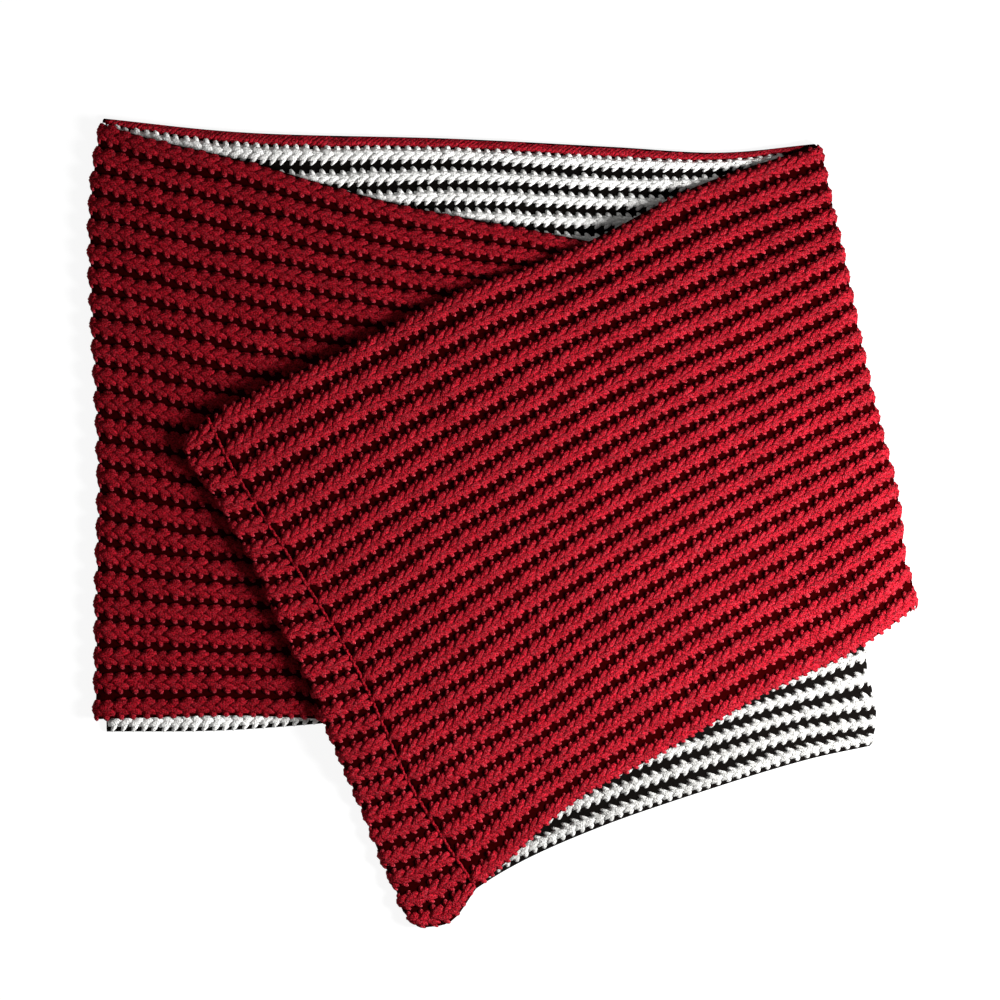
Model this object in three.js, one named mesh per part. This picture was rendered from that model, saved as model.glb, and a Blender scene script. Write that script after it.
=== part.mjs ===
import * as THREE from 'three';

// Loop scarf, knitted in one strip whose two ends are sewn together, laid flat in two layers
// and folded over once more, so that four stretches of it lie on each other.
// Millimetres, +Z up. The origin is on the surface under the middle of the scarf.

// Cloth: a ribbed wall, plain on the inside, with the ribs raised in its outer points
const clothThickness = 2.2;
const ribRise = 1.2;
const layerGap = 0.7;
const seamShift = 0.35;
const rimGap = 0.15;
const hiddenGap = 1.6;
const turnGap = 0.5;
const layerPitch = clothThickness + ribRise + layerGap;
const edgeThickness = 1.3;
const rimWidth = 2.5;
const hemWidth = 6.5;

// Ribs across the width of each stretch; the top one has its lowest rib turned under
const ribsAcross = 24;
const ribsOnTop = 23;

// Drape of a stretch over the edge of the one below it
const drapeStart = 7;
const drapeRun = 36;

// From the point that the tables measure from to the middle of the scarf's outline
const middleShift = new THREE.Vector2(0.8, -0.9);

// Sampling of a rib, of a fold and of a stretch
const ribShoulders = [0.27, 0.73];
const foldSteps = 5;
const foldRibFade = [1, 1, 1, 0.8, 0.3, 0];
const outlineSteps = 12;

// Colours and finish
const crimson = { color: 0xa81230, roughness: 0.9, metalness: 0 };
const darkCrimson = { color: 0x8e0f28, roughness: 0.9, metalness: 0 };
const ivory = { color: 0xf2f0ea, roughness: 0.9, metalness: 0 };

// Lines across the scarf. Each row is a point of the line: the rib number counted from the upper
// edge, and the place x, y of the black valley before that rib.
const seamLine = [
  { rib: 0, x: -148, y: 55 },
  { rib: 2, x: -136, y: 30.5 },
  { rib: 6, x: -108, y: -13.5 },
  { rib: 12, x: -73, y: -71.5 },
  { rib: 18, x: -46, y: -130 },
  { rib: 21, x: -28, y: -160 },
  { rib: 23, x: -13, y: -182 },
];
// The end band keeps its lowest rib, so the last ones are narrower at the seam
const bandSeamLine = [
  ...seamLine.slice(0, -1),
  { rib: 22, x: -22.2, y: -168.5 },
  { rib: 23, x: -16.5, y: -176.8 },
  { rib: 24, x: -13, y: -182 },
];
const bandMiddleLine = [
  { rib: 0, x: -153.5, y: 50 },
  { rib: 2, x: -144, y: 28 },
  { rib: 6, x: -117, y: -16 },
  { rib: 12, x: -86, y: -75 },
  { rib: 18, x: -59, y: -136 },
  { rib: 21, x: -43.5, y: -167 },
  { rib: 22, x: -38.5, y: -177 },
  { rib: 23, x: -32.5, y: -187.5 },
  { rib: 24, x: -25.5, y: -199 },
];
const endFoldLine = [
  { rib: 0, x: -158.5, y: 45 },
  { rib: 1, x: -158.5, y: 34.5 },
  { rib: 2, x: -151.5, y: 24.5 },
  { rib: 3, x: -145, y: 15.5 },
  { rib: 6, x: -126, y: -18.5 },
  { rib: 12, x: -98, y: -79 },
  { rib: 18, x: -71.5, y: -141 },
  { rib: 20, x: -63.8, y: -161.5 },
  { rib: 22, x: -54.2, y: -183.5 },
  { rib: 23, x: -50.8, y: -193.5 },
  { rib: 24, x: -42, y: -202.5 },
];
const outerFoldLine = [
  { rib: 0, x: 158.5, y: 191.5 },
  { rib: 6, x: 171, y: 131 },
  { rib: 12, x: 183.5, y: 70.5 },
  { rib: 18, x: 197.5, y: 13.5 },
  { rib: 21, x: 201, y: -18 },
  { rib: 22, x: 204.5, y: -28 },
  { rib: 23, x: 207, y: -41 },
];
const leftFoldLine = [
  { rib: 0, x: -202, y: 202.5 },
  { rib: 3, x: -207, y: 167 },
  { rib: 6, x: -207.5, y: 130.5 },
  { rib: 12, x: -204, y: 56.5 },
  { rib: 15, x: -203, y: 18 },
  { rib: 18, x: -204, y: -21 },
  { rib: 24, x: -205, y: -98 },
];
const innerFoldLine = [
  { rib: 0, x: 167, y: 117 },
  { rib: 6, x: 171, y: 62 },
  { rib: 12, x: 176, y: 5.5 },
  { rib: 18, x: 180.5, y: -50 },
  { rib: 20, x: 182, y: -69 },
  { rib: 22, x: 187, y: -93 },
  { rib: 24, x: 185, y: -110 },
];

// Each stretch is a row of such lines from one end to the other
const topStretch = {
  lastRib: ribsOnTop,
  lines: [
    seamLine,
    [
      { rib: 0, x: -127, y: 66.5 },
      { rib: 6, x: -91, y: -4 },
      { rib: 12, x: -59, y: -63 },
      { rib: 18, x: -28, y: -118.5 },
      { rib: 23, x: 1, y: -170 },
    ],
    [
      { rib: 0, x: -83, y: 87 },
      { rib: 6, x: -49, y: 21.5 },
      { rib: 12, x: -18, y: -37 },
      { rib: 18, x: 13.5, y: -95.5 },
      { rib: 23, x: 36, y: -138.5 },
    ],
    [
      { rib: 0, x: -23, y: 117 },
      { rib: 6, x: 6, y: 51.5 },
      { rib: 12, x: 32, y: -7.5 },
      { rib: 18, x: 57, y: -64.5 },
      { rib: 23, x: 79, y: -114.5 },
    ],
    [
      { rib: 0, x: 40, y: 141.5 },
      { rib: 6, x: 64, y: 81.5 },
      { rib: 12, x: 88, y: 24 },
      { rib: 18, x: 111, y: -33 },
      { rib: 23, x: 132, y: -83.5 },
    ],
    [
      { rib: 0, x: 98, y: 171 },
      { rib: 6, x: 119, y: 105.5 },
      { rib: 12, x: 138, y: 48.5 },
      { rib: 18, x: 156, y: -9.5 },
      { rib: 23, x: 172, y: -64.5 },
    ],
    outerFoldLine,
  ],
};
const endBand = {
  lastRib: ribsAcross,
  lines: [bandSeamLine, bandMiddleLine, endFoldLine],
};
const leftStretch = {
  lastRib: ribsAcross,
  lines: [
    innerFoldLine,
    [
      { rib: 0, x: 43, y: 143 },
      { rib: 6, x: 43, y: 87 },
      { rib: 12, x: 43, y: 25.5 },
      { rib: 18, x: 43, y: -38.5 },
      { rib: 24, x: 43, y: -104.5 },
    ],
    [
      { rib: 0, x: -52, y: 161.5 },
      { rib: 6, x: -52, y: 98 },
      { rib: 12, x: -52, y: 32 },
      { rib: 18, x: -52, y: -33 },
      { rib: 24, x: -52, y: -100 },
    ],
    [
      { rib: 0, x: -127, y: 182.5 },
      { rib: 6, x: -127, y: 111.5 },
      { rib: 12, x: -127, y: 40.5 },
      { rib: 18, x: -127, y: -29 },
      { rib: 24, x: -127, y: -96 },
    ],
    [
      { rib: 0, x: -177, y: 194.5 },
      { rib: 6, x: -177, y: 123.5 },
      { rib: 12, x: -177, y: 51 },
      { rib: 18, x: -177, y: -25 },
      { rib: 24, x: -177, y: -97 },
    ],
    leftFoldLine,
  ],
};
const underStretch = {
  lastRib: ribsAcross,
  lines: [
    endFoldLine,
    [
      { rib: 0, x: -107, y: 64.5 },
      { rib: 12, x: -52, y: -57 },
      { rib: 24, x: 1, y: -173 },
    ],
    [
      { rib: 0, x: -42, y: 78 },
      { rib: 12, x: 4, y: -37 },
      { rib: 24, x: 48, y: -151.5 },
    ],
    [
      { rib: 0, x: 43, y: 94.5 },
      { rib: 12, x: 76, y: -19.5 },
      { rib: 24, x: 108, y: -130.5 },
    ],
    [
      { rib: 0, x: 113, y: 107 },
      { rib: 12, x: 131, y: -7 },
      { rib: 24, x: 151, y: -117.5 },
    ],
    innerFoldLine,
  ],
};
// Rib -1 of the back stretch is its upper edge, rolled over so that the red face shows
const backStretch = {
  lastRib: ribsAcross,
  lines: [
    [{ rib: -1, x: -200, y: 204.5 }, ...leftFoldLine.slice(0, -1), { rib: 24, x: -203, y: -104.5 }],
    [
      { rib: -1, x: -127, y: 198 },
      { rib: 0, x: -127, y: 192.5 },
      { rib: 12, x: -127, y: 43 },
      { rib: 24, x: -127, y: -103 },
    ],
    [
      { rib: -1, x: -27, y: 195 },
      { rib: 0, x: -27, y: 190.5 },
      { rib: 4, x: -27, y: 149.5 },
      { rib: 12, x: -27, y: 63 },
      { rib: 24, x: -27, y: -93 },
    ],
    [
      { rib: -1, x: 53, y: 191 },
      { rib: 0, x: 53, y: 186 },
      { rib: 4, x: 52, y: 148 },
      { rib: 12, x: 50, y: 69 },
      { rib: 24, x: 48, y: -77 },
    ],
    [
      { rib: -1, x: 156.5, y: 192 },
      ...outerFoldLine.map(({ rib, x, y }) => ({ rib: (rib * ribsAcross) / ribsOnTop, x, y })),
    ],
  ],
};

// Smooth curve through rows of values: a cubic between neighbours, its slopes from the rows beside it
function smoothValue(keys, values, at) {
  const last = keys.length - 1;
  let i = 0;
  while (i < last - 1 && at > keys[i + 1]) i += 1;
  const slope = (n) => {
    const before = Math.max(n - 1, 0);
    const after = Math.min(n + 1, last);
    return (values[after] - values[before]) / (keys[after] - keys[before]);
  };
  const run = keys[i + 1] - keys[i];
  const t = (at - keys[i]) / run;
  const rise = values[i + 1] - values[i];
  const a = slope(i) * run - rise;
  const b = rise - slope(i + 1) * run;
  return values[i] + t * rise + t * (1 - t) * (a * (1 - t) + b * t);
}

// Plan point of a stretch: place 0 to 1 along it, and rib number across it
function planPoint(stretch, place, rib) {
  const lines = stretch.lines;
  const stops = lines.map((line, n) => n / (lines.length - 1));
  const column = (name) => {
    const crossing = lines.map((line) => smoothValue(
      line.map((row) => row.rib), line.map((row) => row[name]), rib));
    return smoothValue(stops, crossing, place);
  };
  return new THREE.Vector2(column('x'), column('y'));
}

// Outline of a stretch in plan, for the drape of what lies on it
function outline(stretch, firstRib) {
  const steps = [...Array(outlineSteps).keys()].map((n) => n / outlineSteps);
  const across = (share) => firstRib + share * (stretch.lastRib - firstRib);
  return [
    ...steps.map((share) => planPoint(stretch, share, firstRib)),
    ...steps.map((share) => planPoint(stretch, 1, across(share))),
    ...steps.map((share) => planPoint(stretch, 1 - share, stretch.lastRib)),
    ...steps.map((share) => planPoint(stretch, 0, across(1 - share))),
  ];
}

// Distance of a point outside a closed outline, 0 inside it
function distanceOutside(corners, point) {
  let inside = false;
  let nearest = Infinity;
  corners.forEach((corner, n) => {
    const next = corners[(n + 1) % corners.length];
    const side = next.clone().sub(corner);
    const toPoint = point.clone().sub(corner);
    const share = Math.min(Math.max(toPoint.dot(side) / side.lengthSq(), 0), 1);
    nearest = Math.min(nearest, toPoint.distanceTo(side.clone().multiplyScalar(share)));
    const crosses = (corner.y > point.y) !== (next.y > point.y);
    if (crosses && toPoint.x < (side.x * toPoint.y) / side.y) inside = !inside;
  });
  return inside ? 0 : nearest;
}

// Share of its full height to which a layer lifts what lies over it at a plan point
function lift(corners, point) {
  const away = (distanceOutside(corners, point) - drapeStart) / drapeRun;
  return 1 - THREE.MathUtils.smoothstep(away, 0, 1);
}

const backOutline = outline(backStretch, -1);
const leftOutline = outline(leftStretch, 0);
const underOutline = outline(underStretch, 0);

// Height of each stretch's underside: one layer for each stretch that lies below it
const backHeight = () => 0;
const leftHeight = (point) => layerPitch * lift(backOutline, point);
const underHeight = (point) => leftHeight(point) + layerPitch * lift(leftOutline, point);
const topHeight = (point) => underHeight(point) + layerPitch * lift(underOutline, point);

// The fold at the end of a stretch: where it turns, which way it points and how far it reaches
function foldAt(stretch, rib, upperHeight, lowerHeight) {
  const turn = planPoint(stretch, 1, rib);
  const outward = turn.clone().sub(planPoint(stretch, 0.97, rib)).normalize();
  const beside = turn.clone().addScaledVector(outward, -layerPitch);
  const bottom = lowerHeight(beside);
  const radius = (upperHeight(beside) + clothThickness - bottom) / 2;
  return { turn, outward, radius, middle: bottom + radius };
}
const endFold = (rib) => foldAt(endBand, rib, topHeight, underHeight);
const innerFold = (rib) => foldAt(underStretch, rib, underHeight, leftHeight);
const leftFold = (rib) => foldAt(leftStretch, rib, leftHeight, backHeight);
const outerFold = (rib) => foldAt(topStretch, rib, topHeight, backHeight);

// Rib numbers at which a wall is sampled, and how high its outer face stands there
function ribSamples(firstRib, lastRib, isRibbed) {
  const samples = [];
  for (let rib = firstRib; rib < lastRib; rib += 1) {
    samples.push({ rib, rise: 0 });
    if (isRibbed(rib)) ribShoulders.forEach((share) => samples.push({ rib: rib + share, rise: 1 }));
  }
  samples.push({ rib: lastRib, rise: 0 });
  samples[0].onEdge = true;
  samples[samples.length - 1].onEdge = true;
  return samples;
}

// Thickness of the wall at a sample: thin at its edges, thick over a rib
function wallAt({ rise, onEdge }, fade = 1) {
  return onEdge ? edgeThickness : clothThickness + rise * ribRise * fade;
}

// Sections across the flat part of a stretch, at the given places along it
function flatSections(stretch, height, places) {
  return places.map((place) => (sample) => {
    const plan = planPoint(stretch, place, sample.rib);
    const underside = height(plan);
    return {
      inner: new THREE.Vector3(plan.x, plan.y, underside),
      outer: new THREE.Vector3(plan.x, plan.y, underside + wallAt(sample)),
    };
  });
}

// Section where a stretch starts, just clear of the end of the fold that turns down to it. Its
// edges may stand out past those of the fold.
function sectionUnderFold(fold, foldRibs, height, clearance, standOut = () => [0, 0]) {
  return (sample) => {
    const share = THREE.MathUtils.clamp(sample.rib / ribsAcross, 0, 1);
    const { turn, outward, radius } = fold(share * foldRibs);
    const plan = turn.clone().addScaledVector(outward, -radius - clearance);
    plan.add(new THREE.Vector2(...standOut(sample.rib)));
    const underside = height(plan);
    return {
      inner: new THREE.Vector3(plan.x, plan.y, underside),
      outer: new THREE.Vector3(plan.x, plan.y, underside + wallAt(sample)),
    };
  };
}

// Sections round the fold at the end of a stretch, from its top down to its underside
function foldSections(fold) {
  return foldRibFade.map((fade, n) => (sample) => {
    const { turn, outward, middle, radius } = fold(sample.rib);
    const angle = (n * Math.PI) / foldSteps;
    const pointAt = (reach) => {
      const plan = turn.clone().addScaledVector(outward, reach * Math.sin(angle) - radius);
      return new THREE.Vector3(plan.x, plan.y, middle + reach * Math.cos(angle));
    };
    const innerReach = radius - clothThickness;
    return { inner: pointAt(innerReach), outer: pointAt(innerReach + wallAt(sample, fade)) };
  });
}

// Triangles between two rows of vertices that run side by side but are spaced differently
function bridge(faces, first, second) {
  let i = 0;
  let j = 0;
  while (i < first.length - 1 || j < second.length - 1) {
    const firstSteps = j === second.length - 1
      || (i < first.length - 1 && first[i + 1].rib <= second[j + 1].rib);
    if (firstSteps) {
      faces.push([first[i].index, second[j].index, first[i + 1].index]);
      i += 1;
    } else {
      faces.push([first[i].index, second[j].index, second[j + 1].index]);
      j += 1;
    }
  }
}

// Two triangles between four corners
function panel(faces, a, b, c, d) {
  faces.push([a.index, b.index, c.index], [a.index, c.index, d.index]);
}

// Signed volume of a closed mesh, positive when its faces point outwards
function volumeOf(positions, faces) {
  const corner = (n) => new THREE.Vector3().fromArray(positions, 3 * n);
  return faces.reduce((sum, [a, b, c]) => sum + corner(a).dot(corner(b).cross(corner(c))) / 6, 0);
}

// Closed wall of cloth through its sections. The ribs are in the outer face alone, so the inner
// one has points at the valleys only.
function clothWall(name, finish, sections, samples) {
  const positions = [];
  const rowOf = (stations, section, face) => stations.map((sample) => {
    positions.push(...section(sample)[face].toArray());
    return { rib: sample.rib, index: positions.length / 3 - 1 };
  });
  const valleys = samples.filter((sample) => sample.rise === 0);
  const outer = sections.map((section) => rowOf(samples, section, 'outer'));
  const inner = sections.map((section) => rowOf(valleys, section, 'inner'));

  const faces = [];
  const lower = (row) => row[row.length - 1];
  for (let n = 1; n < sections.length; n += 1) {
    bridge(faces, outer[n - 1], outer[n]);
    bridge(faces, inner[n], inner[n - 1]);
    panel(faces, outer[n][0], outer[n - 1][0], inner[n - 1][0], inner[n][0]);
    panel(faces, lower(outer[n - 1]), lower(outer[n]), lower(inner[n]), lower(inner[n - 1]));
  }
  bridge(faces, inner[0], outer[0]);
  bridge(faces, lower(outer), lower(inner));

  const pointsOut = volumeOf(positions, faces) > 0;
  const geometry = new THREE.BufferGeometry();
  geometry.setAttribute('position', new THREE.Float32BufferAttribute(positions, 3));
  geometry.setIndex(faces.flatMap(([a, b, c]) => (pointsOut ? [a, b, c] : [a, c, b])));
  geometry.computeVertexNormals();
  const mesh = new THREE.Mesh(geometry, new THREE.MeshStandardMaterial(finish));
  mesh.name = name;
  return mesh;
}

// Even places along a stretch, from one share of its length to another
function placesBetween(first, last, count) {
  return [...Array(count).keys()].map((n) => first + ((last - first) * n) / (count - 1));
}

// Back stretch: lies on the surface; its white face shows above the left one
function makeBackStretch() {
  const atLeft = (rib) => [0, rib < 0 ? -rib * rimWidth : -Math.max(rib - ribsAcross + 1, 0) * hemWidth];
  const atRight = (rib) => [Math.min(rib, 0) * rimWidth, Math.max(-rib, 0) * rimWidth];
  const sections = [
    sectionUnderFold(leftFold, ribsAcross, backHeight, turnGap, atLeft),
    ...flatSections(backStretch, backHeight, placesBetween(0.06, 0.93, 12)),
    sectionUnderFold(outerFold, ribsOnTop, backHeight, turnGap, atRight),
  ];
  const shows = (rib) => rib < 6 || rib > ribsAcross - 3;
  return [
    clothWall('back_stretch', ivory, sections, ribSamples(0, ribsAcross, shows)),
    clothWall('back_rim', darkCrimson, sections, ribSamples(-1, -rimGap, () => true)),
  ];
}

// Left stretch: lies on the back one and turns down to it at the left fold
function makeLeftStretch() {
  const places = [...placesBetween(0.06, 0.44, 5), ...placesBetween(0.52, 0.95, 8)];
  const sections = [
    sectionUnderFold(innerFold, ribsAcross, leftHeight, turnGap),
    ...flatSections(leftStretch, leftHeight, places),
    ...foldSections(leftFold),
  ];
  return clothWall('left_stretch', darkCrimson, sections, ribSamples(0, ribsAcross, () => true));
}

// Under stretch: white face up, it turns down to the left stretch at the inner fold
function makeUnderStretch() {
  const sections = [
    sectionUnderFold(endFold, ribsAcross, underHeight, hiddenGap),
    ...flatSections(underStretch, underHeight, placesBetween(0.06, 0.95, 15)),
    ...foldSections(innerFold),
  ];
  const shows = (rib) => rib > ribsAcross - 9;
  return clothWall('under_stretch', ivory, sections, ribSamples(0, ribsAcross, shows));
}

// Top stretch: from the seam to the outer fold, where it turns down to the back one
function makeTopStretch() {
  const places = placesBetween(0, 0.93, 17);
  const sections = [...flatSections(topStretch, topHeight, places), ...foldSections(outerFold)];
  return clothWall('top_stretch', crimson, sections, ribSamples(0, ribsOnTop, () => true));
}

// End band: the top stretch's cloth beyond the seam, turned under at the end fold
function makeEndBand() {
  const seamSide = bandSeamLine.map((row) => ({ ...row, x: row.x - seamShift }));
  const cloth = { ...endBand, lines: [seamSide, ...endBand.lines.slice(1)] };
  const places = placesBetween(0, 0.7, 4);
  const sections = [...flatSections(cloth, topHeight, places), ...foldSections(endFold)];
  return clothWall('end_band', crimson, sections, ribSamples(0, ribsAcross, () => true));
}

const scarf = new THREE.Group();
scarf.add(...makeBackStretch());
scarf.add(makeLeftStretch());
scarf.add(makeUnderStretch());
scarf.add(makeTopStretch());
scarf.add(makeEndBand());
scarf.position.set(middleShift.x, middleShift.y, 0);
export default scarf;
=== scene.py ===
import math

import bmesh
import bpy
import numpy as np
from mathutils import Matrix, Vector


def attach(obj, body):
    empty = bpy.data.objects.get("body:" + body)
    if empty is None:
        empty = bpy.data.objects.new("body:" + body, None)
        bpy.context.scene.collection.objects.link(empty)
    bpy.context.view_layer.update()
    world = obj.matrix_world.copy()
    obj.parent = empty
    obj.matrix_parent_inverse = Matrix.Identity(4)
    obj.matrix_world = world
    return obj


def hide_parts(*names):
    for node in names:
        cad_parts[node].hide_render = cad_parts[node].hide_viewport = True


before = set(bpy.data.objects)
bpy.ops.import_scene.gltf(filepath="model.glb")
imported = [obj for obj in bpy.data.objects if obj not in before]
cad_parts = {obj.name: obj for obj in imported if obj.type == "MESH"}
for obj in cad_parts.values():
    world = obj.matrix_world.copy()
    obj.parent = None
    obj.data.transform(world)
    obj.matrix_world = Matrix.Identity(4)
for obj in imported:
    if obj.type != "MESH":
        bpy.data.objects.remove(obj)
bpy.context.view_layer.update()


# Back stretch: the part of the knitted loop that lies on the surface, white face up. It is coarse
# two-colour rib: yarn ribs raised over a black ground, worked lengthwise. It shows above the left
# stretch and as a narrow strip below it, and runs into the left fold and the outer fold.

mm = 0.001

# Moved by this, the folded scarf has its middle at the origin
middle_shift = np.array([0.8, -0.9]) * mm

# Heights over the cloth's inner face: the black ground in a valley, its purl loops, how much fuller
# it is round a fold, the ground under a rib, and the yarn
valley_height = 0.95 * mm
loop_rise = 0.45 * mm
fold_fullness = 1.0 * mm
under_rib_height = 1.9 * mm
yarn_level = 2.6 * mm

# How flat a yarn's section is, how far the surface for the stitches runs on past a stretch's ends,
# and how far the stitches run on under what covers them
yarn_flatness = 0.7
spare_cloth = 10 * mm
hidden_overlap = 9 * mm

# The flat cloth that the stitches are laid out on: one unit is this long and this many ribs wide.
# Then the seam's place along it, and the rib number at its lower edge.
flat_length = 0.5
flat_ribs = 28
seam_place = 0.12
lowest_rib = 26

# Lines across the loop, each point as (rib, x, y): the black valley before that rib, counted from
# the upper edge, and its place in millimetres before the shift to the middle
left_fold_line = [(0, -202, 202.5), (3, -207, 167), (6, -207.5, 130.5), (12, -204, 56.5),
                  (15, -203, 18), (18, -204, -21), (24, -205, -98)]
outer_fold_line = [(0, 158.5, 191.5), (6, 171, 131), (12, 183.5, 70.5), (18, 197.5, 13.5),
                   (21, 201, -18), (22, 204.5, -28), (23, 207, -41)]
back_lines = [
    [(-1, -200, 204.5), *left_fold_line[:-1], (24, -203, -104.5)],
    [(-1, -127, 198), (0, -127, 192.5), (12, -127, 43), (24, -127, -103)],
    [(-1, -27, 195), (0, -27, 190.5), (4, -27, 149.5), (12, -27, 63), (24, -27, -93)],
    [(-1, 53, 191), (0, 53, 186), (4, 52, 148), (12, 50, 69), (24, 48, -77)],
    [(-1, 108, 187.9), (0, 108, 184.1), (1, 108, 177.2), (2, 107.5, 167), (4, 107, 147.5),
     (12, 110, 70), (24, 116, -64)],
    [(-1, 155.5, 191.8), (0, 157.5, 189.6),
     *[(rib * 24 / 23, x, y) for rib, x, y in outer_fold_line[1:]]],
]


def smooth_through(keys, values, at):
    """A smooth curve through rows of values, with its slopes from the rows beside each one."""
    keys, values = np.array(keys, float), np.array(values, float)
    at = np.atleast_1d(np.array(at, float))
    column = (-1,) + (1,) * (values.ndim - 1)
    order = np.arange(len(keys))
    before, after = np.maximum(order - 1, 0), np.minimum(order + 1, len(keys) - 1)
    slopes = (values[after] - values[before]) / (keys[after] - keys[before]).reshape(column)
    i = np.clip(np.searchsorted(keys, at) - 1, 0, len(keys) - 2)
    run = (keys[i + 1] - keys[i]).reshape(column)
    t = (at - keys[i]).reshape(column) / run
    rise = values[i + 1] - values[i]
    bend = (slopes[i] * run - rise) * (1 - t) + (rise - slopes[i + 1] * run) * t
    return values[i] + t * rise + t * (1 - t) * bend


def plan_points(lines, places, ribs):
    """Plan points of a stretch, in metres: a row for each place 0 to 1, a column for each rib."""
    across = [smooth_through([p[0] for p in line], [p[1:] for p in line], ribs) for line in lines]
    stops = np.linspace(0, 1, len(lines))
    return smooth_through(stops, across, places) * mm + middle_shift


def outline_of(lines, first_rib, last_rib):
    """The outline of a stretch in plan, as corners in order round it."""
    share = np.arange(12) / 12
    ribs = first_rib + share * (last_rib - first_rib)
    return np.concatenate([
        plan_points(lines, share, [first_rib])[:, 0],
        plan_points(lines, [1], ribs)[0],
        plan_points(lines, 1 - share, [last_rib])[:, 0],
        plan_points(lines, [0], first_rib + last_rib - ribs)[0],
    ])


def distance_outside(corners, points):
    """How far points lie outside a closed outline, in metres; less than 0 inside it."""
    shape = points.shape[:-1]
    flat = points.reshape(-1, 2)
    nearest = np.full(len(flat), np.inf)
    inside = np.zeros(len(flat), bool)
    for corner, following in zip(corners, np.roll(corners, -1, axis=0)):
        side, to_point = following - corner, flat - corner
        share = np.clip(to_point @ side / (side @ side), 0, 1)
        nearest = np.minimum(nearest, np.linalg.norm(to_point - share[:, None] * side, axis=1))
        if corner[1] != following[1]:
            crosses = (corner[1] > flat[:, 1]) != (following[1] > flat[:, 1])
            inside ^= crosses & (to_point[:, 0] < side[0] * to_point[:, 1] / side[1])
    return np.where(inside, -nearest, nearest).reshape(shape)


def flat_rows(lines, height, places, ribs, crease=None):
    """Points of the cloth's inner face, and the ways that it faces, where a stretch lies flat."""
    if callable(places):
        plan = np.stack([plan_points(lines, places(rib), [rib])[:, 0] for rib in ribs], axis=1)
    else:
        plan = plan_points(lines, places, ribs)
    level = height(plan)
    if crease is not None:
        level = level + crease(np.array(places)[:, None], np.array(ribs)[None, :])
    inner = np.concatenate([plan, level[..., None]], axis=-1)
    facing = np.cross(np.gradient(inner, axis=0), np.gradient(inner, axis=1))
    facing *= np.sign(facing[..., 2:])
    return inner, facing / np.linalg.norm(facing, axis=-1, keepdims=True)


def with_distance(inner, facing, runs_left=False, from_end=False):
    """Rows in order from left to right, with the distance along each rib at the yarn's level. It
    is measured from the first row or, with from_end, from the last."""
    if runs_left:
        inner, facing = inner[::-1], facing[::-1]
    at_yarn = inner + facing * yarn_level
    steps = np.linalg.norm(np.diff(at_yarn, axis=0), axis=-1)
    along = np.concatenate([np.zeros((1, inner.shape[1])), np.cumsum(steps, axis=0)])
    if from_end:
        along -= along[-1:]
    return inner, facing, along


def new_object(name, vertices, faces, edges=()):
    mesh = bpy.data.meshes.new(name)
    mesh.from_pydata(vertices, edges, faces)
    thing = bpy.data.objects.new(name, mesh)
    bpy.context.scene.collection.objects.link(thing)
    return thing


def grid_faces(rows, columns, first=0):
    at = first + np.arange(rows * columns).reshape(rows, columns)
    corners = [at[:-1, :-1], at[1:, :-1], at[1:, 1:], at[:-1, 1:]]
    return np.stack(corners, axis=-1).reshape(-1, 4)


def add_uv(thing, name, values):
    layer = thing.data.uv_layers.new(name=name)
    corner_vertices = np.empty(len(thing.data.loops), np.int32)
    thing.data.loops.foreach_get("vertex_index", corner_vertices)
    layer.data.foreach_set("uv", values[corner_vertices].astype(np.float32).ravel())


def cloth_shell(name, rows_at, ribs, stitch, finishes, inner_relief=0.0, trims=(0.09, 0.09)):
    """The black ground of a stretch as a closed shell: valleys with a row of purl loops in them,
    raised under the ribs and fuller round a fold. rows_at gives the stretch's rows at any ribs.
    trims gives how far the ground ends inside the upper and the lower edge, in ribs, and
    inner_relief how far the inner face comes up in a valley."""
    shares = [0, 0.2, 0.5, 0.8]
    across = [rib + share for rib in ribs for share in shares] + [ribs[-1] + 1 - trims[1]]
    across[0] += trims[0]
    across = np.array(across[::-1], float)
    inner, facing, along = rows_at(across)
    steps = int(2 * (along[-1] - along[0]).max() / stitch)
    at = along[0] + np.linspace(0, 1, steps)[:, None] * (along[-1] - along[0])

    def resample(values):
        return np.stack([np.stack([np.interp(at[:, n], along[:, n], values[:, n, k])
                                   for k in range(3)], axis=-1) for n in range(len(across))], axis=1)

    inner, facing = resample(inner), resample(facing)
    in_valley = np.abs(across - np.round(across)) < 0.1
    loops = valley_height + loop_rise * (np.arange(steps) % 2)[:, None]
    turned = (facing[..., :2] ** 2).sum(axis=-1)
    height = np.where(in_valley[None, :], loops + fold_fullness * turned, under_rib_height)
    height[:, [0, -1]] = valley_height
    outer = inner + facing * height[..., None]
    inner = inner + facing * np.where(in_valley[None, :, None], inner_relief, 0.0)

    rows, columns = steps, len(across)
    count = rows * columns
    outer_faces = grid_faces(rows, columns)
    inner_faces = grid_faces(rows, columns, count)[:, ::-1]
    number = np.arange(count).reshape(rows, columns)
    ring = np.concatenate([number[:, 0], number[-1, 1:], number[-2::-1, -1], number[0, -2:0:-1]])
    after = np.roll(ring, -1)
    wall = np.stack([after, ring, ring + count, after + count], axis=-1)
    vertices = np.concatenate([outer.reshape(-1, 3), inner.reshape(-1, 3)])
    faces = np.concatenate([outer_faces, inner_faces, wall])
    shell = new_object(name, vertices.tolist(), faces.tolist())
    knit = np.stack([at / stitch, np.broadcast_to(across, at.shape)], axis=-1).reshape(-1, 2)
    add_uv(shell, "knit", np.concatenate([knit, knit]))
    for finish in finishes:
        shell.data.materials.append(finish)
    is_inner = np.zeros(len(faces), np.int32)
    is_inner[len(outer_faces):len(outer_faces) + len(inner_faces)] = 1
    shell.data.polygons.foreach_set("material_index", is_inner)
    shell.data.shade_smooth()
    return shell


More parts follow.
